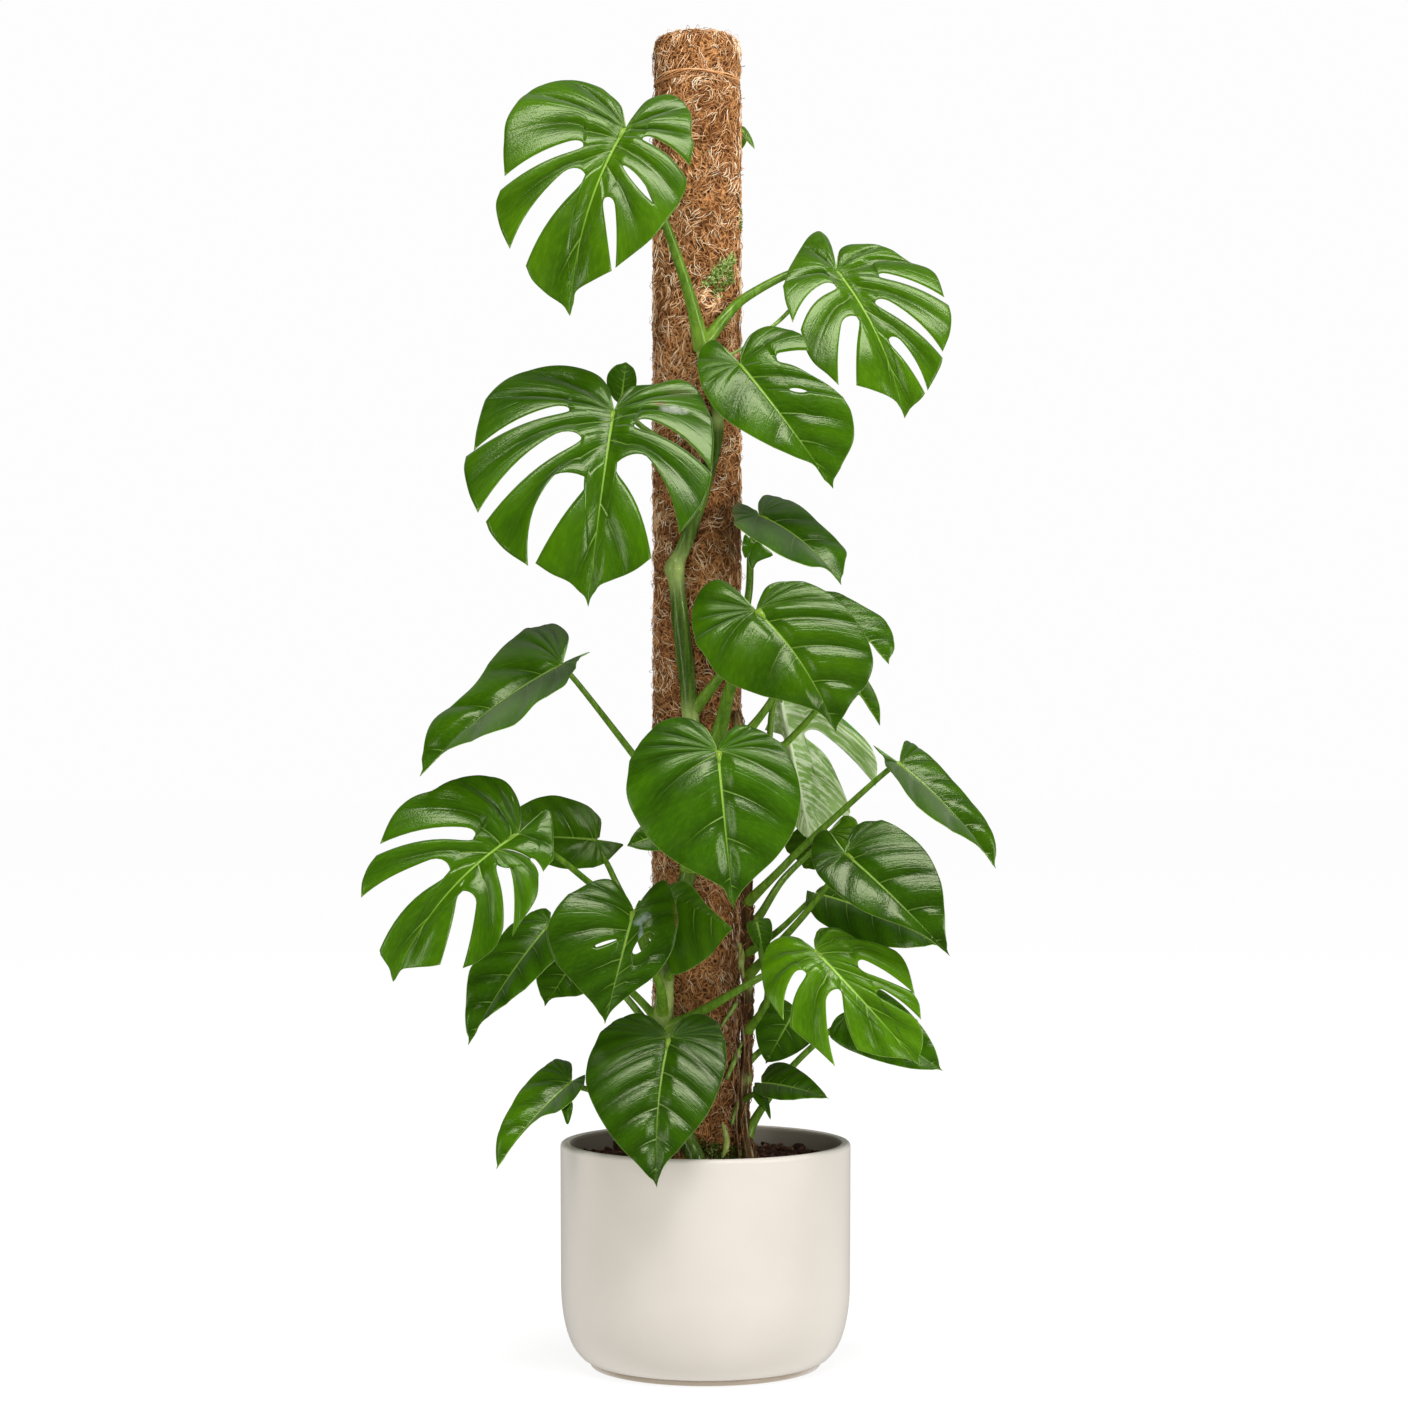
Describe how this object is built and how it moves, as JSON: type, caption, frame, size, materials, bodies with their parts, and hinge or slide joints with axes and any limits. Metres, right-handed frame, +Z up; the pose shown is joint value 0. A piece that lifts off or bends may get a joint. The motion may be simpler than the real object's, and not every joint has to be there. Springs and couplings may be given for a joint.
{
  "type": "potted monstera",
  "caption": "Tall climbing houseplant with split and heart-shaped leaves, growing up a coir pole in a round planter with a rounded base.",
  "frame": {"origin": "centre of the flat disc under the pot that it stands on", "axes": "+Z up along the pole, -Y towards the front that the leaves face, +X to the right as seen from the front"},
  "size_m": [0.6945, 0.3858, 1.5],
  "materials": {
    "pot_glaze": "satin",
    "soil": "matte",
    "coir": "matte",
    "pole_wood": "matte",
    "stem_green": "satin",
    "leaf_dark": "satin",
    "leaf_mid": "satin",
    "leaf_light": "satin",
    "leaf_pale": "matte"
  },
  "bodies": {
    "root": {"pot": "pot_glaze", "soil": "soil", "pole_core": "pole_wood", "coir_sleeve": "coir", "stem_main": "stem_green", "stem_side": "stem_green", "leaf_01": "leaf_light", "leaf_02": "leaf_light", "leaf_03": "leaf_mid", "leaf_04": "leaf_mid", "leaf_05": "leaf_dark", "leaf_06": "leaf_mid", "leaf_07": "leaf_mid", "leaf_08": "leaf_mid", "leaf_09": "leaf_pale", "leaf_10": "leaf_mid", "leaf_11": "leaf_mid", "leaf_12": "leaf_dark", "leaf_13": "leaf_mid", "leaf_14": "leaf_mid", "leaf_15": "leaf_dark", "leaf_16": "leaf_dark", "leaf_17": "leaf_mid", "leaf_18": "leaf_dark", "leaf_19": "leaf_mid", "leaf_20": "leaf_mid", "leaf_21": "leaf_dark", "leaf_22": "leaf_dark", "leaf_23": "leaf_dark", "leaf_24": "leaf_light", "leaf_25": "leaf_dark", "leaf_26": "leaf_dark", "leaf_27": "leaf_dark", "leaf_28": "leaf_dark", "leaf_29": "leaf_light", "leaf_30": "leaf_mid", "leaf_31": "leaf_light"}
  },
  "joints": []
}
